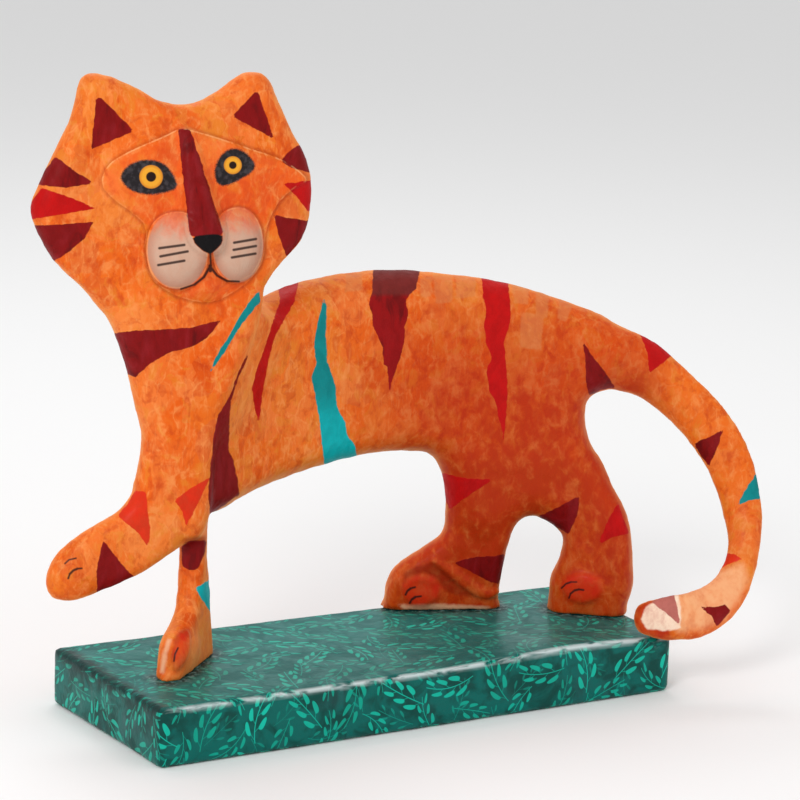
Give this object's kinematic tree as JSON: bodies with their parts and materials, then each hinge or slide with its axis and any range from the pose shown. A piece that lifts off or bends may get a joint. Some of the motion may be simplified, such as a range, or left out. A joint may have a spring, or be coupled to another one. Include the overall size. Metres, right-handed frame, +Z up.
{
  "type": "tiger sculpture",
  "caption": "Papier-mache tiger on a low rectangular plinth: flat body bent in plan, a raised foreleg, a broad face turned to the viewer and the tail curled round to the front.",
  "frame": {"origin": "centre of the plinth's underside", "axes": "+X along the plinth towards the tail end, -Y the painted show side, +Z up"},
  "size_m": [0.3876, 0.135, 0.3302],
  "materials": {
    "painted_paper": "orange tissue paper with dark red, red and teal stripes, satin varnish",
    "patterned_paper": "dark green leaf-patterned paper, gloss varnish"
  },
  "bodies": {
    "root": {"tiger": "painted_paper", "plinth": "patterned_paper"}
  },
  "joints": []
}
